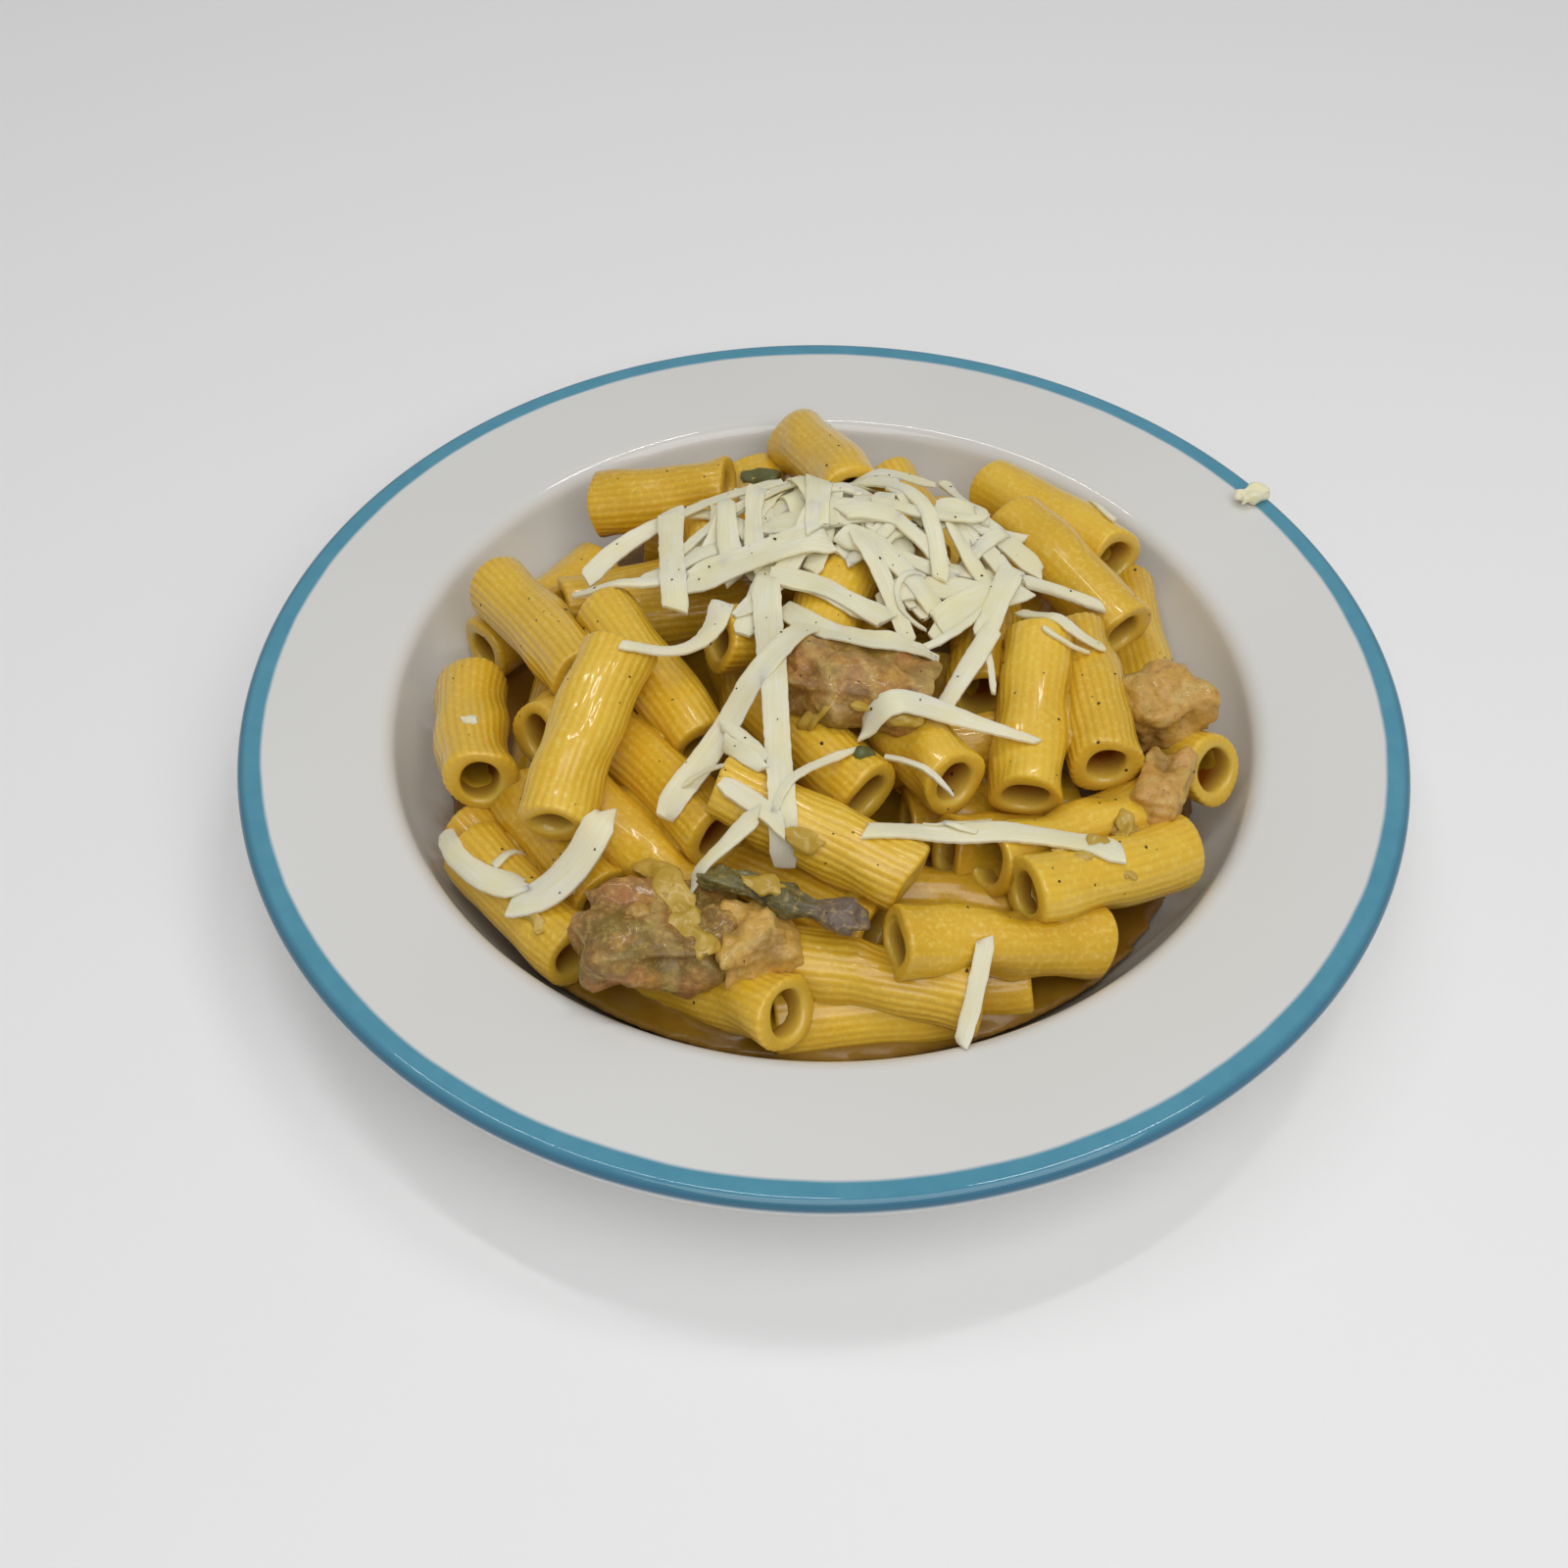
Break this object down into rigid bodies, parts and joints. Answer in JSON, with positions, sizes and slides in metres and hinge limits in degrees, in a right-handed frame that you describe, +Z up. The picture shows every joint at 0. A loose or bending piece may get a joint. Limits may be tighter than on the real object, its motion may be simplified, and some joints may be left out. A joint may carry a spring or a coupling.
{
  "type": "plate of rigatoni pasta",
  "caption": "Wide-rimmed shallow pasta plate holding a domed heap of ridged tube pasta in yellow sauce, with chunks of cured pork and long shreds of grated cheese on top.",
  "frame": {"origin": "on the plate's axis, on the plane that its foot ring stands on", "axes": "+Z up out of the plate along its axis; -Y towards the diner; +X to the diner's right"},
  "size_m": [0.26, 0.26, 0.0673],
  "materials": {
    "glazed_plate": "glossy off-white glaze with a teal blue band at the rim",
    "pasta": "cooked durum wheat pasta, moist, coated with egg sauce",
    "pork": "fried cured pork, browned meat with pale fat and grey rind",
    "cheese": "hard white cheese in long shreds, matt and slightly oily"
  },
  "bodies": {
    "root": {"plate": "glazed_plate", "pasta_heap": "pasta", "pork_front": "pork", "pork_front_end": "pork", "pork_rind_strip": "pork", "pork_middle": "pork", "pork_right": "pork", "pork_right_low": "pork", "pork_back": "pork", "cheese_pile": "cheese", "cheese_group_1": "cheese", "cheese_group_2": "cheese", "cheese_group_3": "cheese", "cheese_group_4": "cheese", "cheese_group_5": "cheese", "cheese_group_6": "cheese", "cheese_group_7": "cheese", "cheese_group_8": "cheese", "cheese_curl": "cheese", "cheese_strip_right": "cheese", "cheese_strip_front": "cheese", "cheese_crumb": "cheese"}
  },
  "joints": []
}
